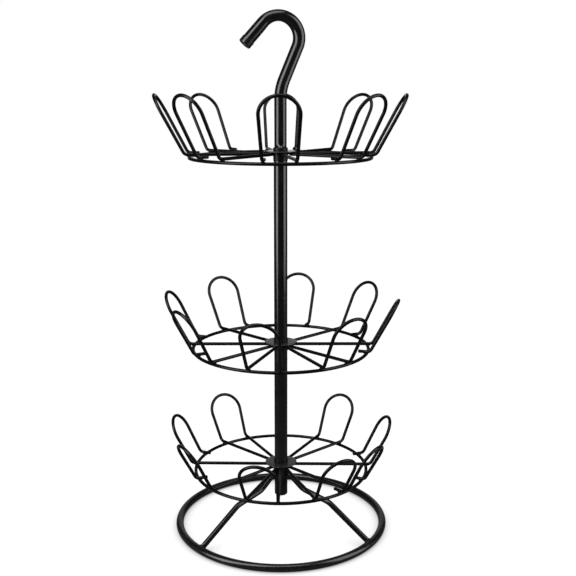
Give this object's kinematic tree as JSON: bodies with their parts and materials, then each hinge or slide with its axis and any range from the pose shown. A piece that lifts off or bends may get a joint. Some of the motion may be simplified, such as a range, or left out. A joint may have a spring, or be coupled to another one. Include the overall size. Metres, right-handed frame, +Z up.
{
  "type": "rotating shoe tower",
  "caption": "Wire shoe tower: a ring foot on bent legs, a tube post with a hanging hook, and tiers of upright loops that turn on it.",
  "frame": {"origin": "on the post's axis, on the floor that the ring foot stands on", "axes": "+Z up along the post, -Y to the front, the hook's tip towards -X"},
  "size_m": [0.4084, 0.4084, 0.865],
  "materials": {
    "black_gloss": "gloss black enamel",
    "hub_satin": "satin dark grey",
    "black_plastic": "smooth black moulding",
    "zinc_steel": "zinc plated"
  },
  "bodies": {
    "base": {"base_ring": "black_gloss", "base_leg_back": "black_gloss", "base_leg_left": "black_gloss", "base_leg_right": "black_gloss", "leg_collar": "black_gloss", "post_foot_plug": "black_plastic", "post_foot": "black_gloss", "post_lower": "black_gloss", "post_middle": "black_gloss", "hook_tube": "black_gloss", "hook_end_cap": "black_plastic", "bottom_seat_collar": "black_plastic", "bottom_cap_collar": "black_plastic", "bottom_joint_stud": "zinc_steel", "bottom_insert_below": "zinc_steel", "bottom_insert_above": "zinc_steel", "middle_seat_collar": "black_plastic", "middle_cap_collar": "black_plastic", "middle_joint_stud": "zinc_steel", "middle_insert_below": "zinc_steel", "middle_insert_above": "zinc_steel", "top_seat_collar": "black_plastic", "top_cap_collar": "black_plastic", "top_joint_stud": "zinc_steel", "top_insert_below": "zinc_steel", "top_insert_above": "zinc_steel"},
    "bottom_tier": {"bottom_ring": "black_gloss", "bottom_hub_disc": "hub_satin", "bottom_loop_1": "black_gloss", "bottom_loop_2": "black_gloss", "bottom_loop_3": "black_gloss", "bottom_loop_4": "black_gloss", "bottom_loop_5": "black_gloss", "bottom_loop_6": "black_gloss", "bottom_loop_7": "black_gloss", "bottom_loop_8": "black_gloss"},
    "middle_tier": {"middle_ring": "black_gloss", "middle_hub_disc": "hub_satin", "middle_loop_1": "black_gloss", "middle_loop_2": "black_gloss", "middle_loop_3": "black_gloss", "middle_loop_4": "black_gloss", "middle_loop_5": "black_gloss", "middle_loop_6": "black_gloss", "middle_loop_7": "black_gloss", "middle_loop_8": "black_gloss"},
    "top_tier": {"top_ring": "black_gloss", "top_hub_disc": "hub_satin", "top_loop_1": "black_gloss", "top_loop_2": "black_gloss", "top_loop_3": "black_gloss", "top_loop_4": "black_gloss", "top_loop_5": "black_gloss", "top_loop_6": "black_gloss", "top_loop_7": "black_gloss", "top_loop_8": "black_gloss"}
  },
  "joints": [
    {"name": "bottom_tier_spin", "type": "hinge", "parent": "base", "child": "bottom_tier", "pos_m": [0, 0, 0.1108], "axis": [0, 0, 1], "continuous": true},
    {"name": "middle_tier_spin", "type": "hinge", "parent": "base", "child": "middle_tier", "pos_m": [0, 0, 0.3264], "axis": [0, 0, 1], "continuous": true},
    {"name": "top_tier_spin", "type": "hinge", "parent": "base", "child": "top_tier", "pos_m": [0, 0, 0.6443], "axis": [0, 0, 1], "continuous": true}
  ]
}
